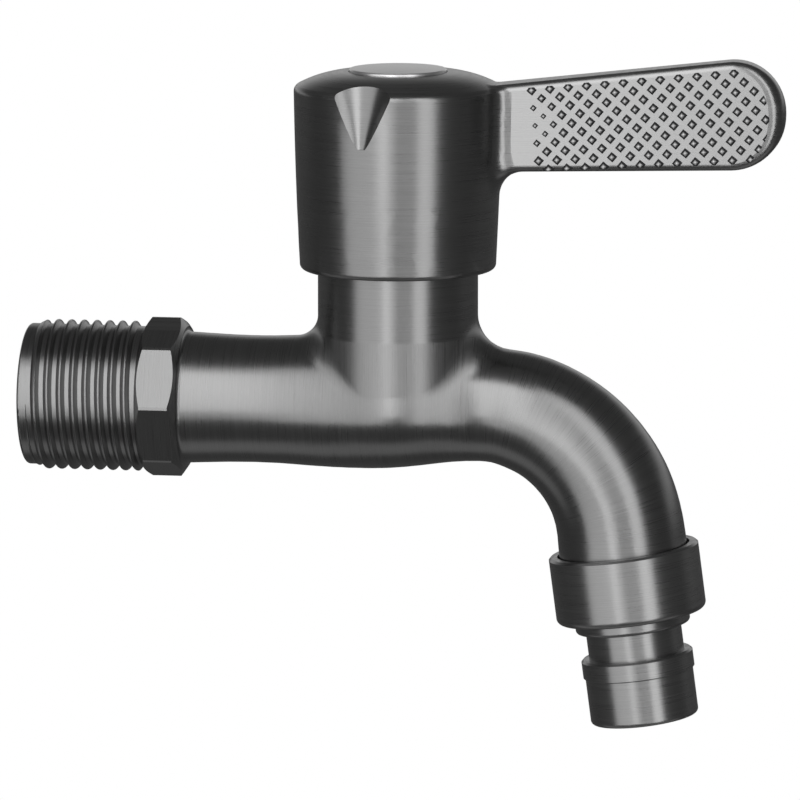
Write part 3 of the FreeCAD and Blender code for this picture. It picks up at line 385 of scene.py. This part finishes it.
# plain pieces, with a fine grain in their roughness
def plainOf(name, colour, metallic, roughness, grain):
    paint = bpy.data.materials.new(name)
    paint.use_nodes = True
    tree = paint.node_tree
    shader = tree.nodes["Principled BSDF"]
    shader.inputs["Base Color"].default_value = (*colour, 1)
    shader.inputs["Metallic"].default_value = metallic
    noise = tree.nodes.new("ShaderNodeTexNoise")
    noise.inputs["Scale"].default_value = grain
    tree.links.new(vectorOf(tree, *objectPlace(tree)), noise.inputs["Vector"])
    less, more = roughness * (1 - grains["spread"]), roughness * (1 + grains["spread"])
    rough = fade(tree, noise.outputs["Fac"], *grains["band"], less, more)
    tree.links.new(rough, shader.inputs["Roughness"])
    return paint


def dress(node, paint):
    mesh = nodes[node].data
    mesh.materials.clear()
    mesh.materials.append(paint)


for node, name, brushing, tone in (
    ("handle_lever", "brushedHandle", roundHub, 1.0),
    ("tap_body", "brushedTube", roundTube, 1.0),
    ("hose_nozzle", "brushedNozzle", roundOutlet, brushed["nozzleTone"]),
):
    dress(node, metalOf(name, brushing, brushed["colour"] * tone, brushed["roughness"]))
dress("index_cap", metalOf("turnedCap", roundCap, **cap))
print("metal dressed")

# pieces inside

inside = {  # colour, metallic, roughness, grains per metre, pieces
    "brass": (
        (0.62, 0.44, 0.18), 1.0, 0.3, 3000,
        "cartridge_housing", "spindle", "stop_collar", "spline_insert",
    ),
    "steel": (
        (0.56, 0.56, 0.57), 1.0, 0.28, 4000,
        "circlip", "handle_screw", "screw_spring_washer", "strainer_screen",
    ),
    "ceramic": (
        (0.84, 0.83, 0.79), 0.0, 0.22, 2500,
        "moving_ceramic_disc", "fixed_ceramic_disc",
    ),
    "whitePlastic": (
        (0.78, 0.78, 0.76), 0.0, 0.45, 2500,
        "thrust_washer",
    ),
    "blackRubber": (
        (0.018, 0.018, 0.018), 0.0, 0.65, 5000,
        "cartridge_gasket", "seat_seal", "outlet_washer",
        "spindle_upper_o_ring", "spindle_lower_o_ring",
    ),
}
for name, (colour, metallic, roughness, grain, *pieces) in inside.items():
    paint = plainOf(name, colour, metallic, roughness, grain)
    for piece in pieces:
        dress(piece, paint)
print("pieces inside dressed")

# studs on both faces of the lever, with painted shade on their sides and round the rims of their tops,
# and a painted highlight in the middle of each top

studs = {
    "first": (0.018998, 0.044224),  # from the spindle axis, and height
    "along": (0.002529, 0.0002525),
    "row": (0.0001265, -0.0012167),
    "fan": -0.0000097,
    "rows": 11,
    "columns": 15,
    "halfDiagonal": 0.0008,
    "topShare": 0.52,
    "height": 0.0003,
    "crown": 0.00006,
    # painted highlight in the middle of each stud's top, painted shade round its rim
    "paintedHighlightBand": (0.0, 0.9),
    "paintedRimShade": 0.2,
    "paintedHighlight": 2.3,
    "sunk": 0.00012,
    "flare": 0.3,
    "smallest": (0.0192, 0.0396),  # the middle of the patch where they come out small
    "smallScale": 0.6,
    "smallReach": 0.0017,
    "growth": 160.0,
    "faceAtRoot": 0.00325,  # half of the lever's thickness at rootX, and how fast it thins
    "rootX": 0.0075,
    "thinning": 0.01587,
    "topLine": ((0.019, 0.04463), (0.04676, 0.04751)),
    "bottomLine": ((0.0215, 0.0332), (0.04667, 0.03446)),
    "tipArc": (0.0441, 0.0406, 0.0076),
    "arcCuts": (-70, 71, 14),  # degrees: from, to, step
    "cutSlack": 1e-7,
    # painted shade: the steep sides of the studs are near-black, standing in for the dark they reflect
    "paintedShade": (0.012, 0.012, 0.013),
    "shadeRoughness": 0.6,
    "shadeGrain": 4000,
}


# how far inside the stud field's outline a point lies
def inField(x, z):
    cx, cz, r = studs["tipArc"]
    (x1, z1), (x2, z2) = studs["topLine"]
    top = z1 + (z2 - z1) * (x - x1) / (x2 - x1) - z
    (x1, z1), (x2, z2) = studs["bottomLine"]
    bottom = z - z1 - (z2 - z1) * (x - x1) / (x2 - x1)
    tip = r - sqrt((x - cx) ** 2 + (z - cz) ** 2) if x > cx else 1
    return min(top, bottom, tip)


def addStud(bm, x, z, scale, crown):
    half = studs["halfDiagonal"] * scale
    height = studs["height"] * scale + studs["sunk"]
    made = bmesh.ops.create_cone(
        bm,
        cap_ends=True,
        segments=4,
        radius1=half * (1 + studs["flare"] * studs["sunk"] / height),
        radius2=half * studs["topShare"],
        depth=height,
    )
    verts = made["verts"]
    faces = {f for v in verts for f in v.link_faces}
    top = max(faces, key=lambda f: f.calc_center_median().z)
    # the sides take the painted shade
    for face in faces - {top}:
        face.material_index = 1
    poked = bmesh.ops.poke(bm, faces=[top])
    for v in poked["verts"]:
        v.co.z += studs["crown"] * scale
        # marks the middle of the top, where the painted highlight is brightest
        v[crown] = 1.0
    verts = verts + poked["verts"]
    bmesh.ops.translate(bm, verts=verts, vec=(0, 0, height / 2 - studs["sunk"]))
    face = studs["faceAtRoot"] - studs["thinning"] * (x - studs["rootX"])
    upright = Matrix.Rotation(radians(90), 3, "X")
    slope = Matrix.Rotation(-atan2(studs["along"][1], studs["along"][0]), 3, "Y")
    for turn in (upright, slope):
        bmesh.ops.rotate(bm, cent=(0, 0, 0), matrix=turn, verts=verts)
    bmesh.ops.translate(bm, verts=verts, vec=(x, -face, z))


# painted shade round the rim of each stud's top and a painted highlight in the middle
def studTopPaintedLight(tree, x, y, z):
    crown = tree.nodes.new("ShaderNodeAttribute")
    crown.attribute_name = "crown"
    band = studs["paintedHighlightBand"]
    # painted shade at the rim, rising to a painted highlight in the middle
    tone = fade(tree, crown.outputs["Fac"], *band, studs["paintedRimShade"], studs["paintedHighlight"])
    v = mathNode(tree, "MULTIPLY", x, brushed["hubStretch"])
    return (z, v, y), vectorOf(tree, 0, 0, 1), tone


# cuts off what lies past a line and closes the cut
def clipStuds(bm, spot, outward):
    cut = bmesh.ops.bisect_plane(
        bm,
        geom=bm.verts[:] + bm.edges[:] + bm.faces[:],
        dist=studs["cutSlack"],
        plane_co=(spot[0], 0, spot[1]),
        plane_no=(outward[0], 0, outward[1]),
        clear_outer=True,
    )
    edges = [e for e in cut["geom_cut"] if isinstance(e, bmesh.types.BMEdge)]
    bmesh.ops.holes_fill(bm, edges=[e for e in edges if e.is_boundary], sides=0)


def makeStuds():
    bm = bmesh.new()
    crown = bm.verts.layers.float.new("crown")
    (ax, az), (cx, cz) = studs["along"], studs["row"]
    for row in range(-1, studs["rows"]):
        for column in range(studs["columns"]):
            shift = column + (row % 2) / 2
            x = studs["first"][0] + ax * shift + cx * row
            z = studs["first"][1] + az * shift + (cz + studs["fan"] * shift) * row
            away = sqrt((x - studs["smallest"][0]) ** 2 + (z - studs["smallest"][1]) ** 2)
            grown = max(0.0, away - studs["smallReach"]) * studs["growth"]
            scale = min(1.0, studs["smallScale"] + grown)
            if inField(x, z) > -studs["halfDiagonal"]:
                addStud(bm, x, z, scale, crown)
    (x1, z1), (x2, z2) = studs["topLine"]
    clipStuds(bm, (x1, z1), (z1 - z2, x2 - x1))
    (x1, z1), (x2, z2) = studs["bottomLine"]
    clipStuds(bm, (x1, z1), (z2 - z1, x1 - x2))
    cx, cz, r = studs["tipArc"]
    for degrees in range(*studs["arcCuts"]):
        a = radians(degrees)
        clipStuds(bm, (cx + r * cos(a), cz + r * sin(a)), (cos(a), sin(a)))
    back = bmesh.ops.duplicate(bm, geom=bm.verts[:] + bm.edges[:] + bm.faces[:])
    copied = [v for v in back["geom"] if isinstance(v, bmesh.types.BMVert)]
    bmesh.ops.scale(bm, verts=copied, vec=(1, -1, 1))
    mirrored = [f for f in back["geom"] if isinstance(f, bmesh.types.BMFace)]
    bmesh.ops.reverse_faces(bm, faces=mirrored)
    bmesh.ops.translate(bm, verts=bm.verts, vec=(tap["neckX"], 0, 0))
    mesh = bpy.data.meshes.new("leverStuds")
    bm.to_mesh(mesh)
    bm.free()
    obj = link(bpy.data.objects.new("leverStuds", mesh))
    mesh.materials.append(metalOf("studTopPaintedLight", studTopPaintedLight, brushed["colour"], brushed["roughness"]))
    # painted shade for the stud sides
    paintedShade = plainOf("paintedStudShade", studs["paintedShade"], 0.0, studs["shadeRoughness"], studs["shadeGrain"])
    mesh.materials.append(paintedShade)
    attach(obj, "handle")
    print("studs made:", len(mesh.polygons), "faces")


makeStuds()

bpy.context.scene.view_settings.view_transform = "Standard"
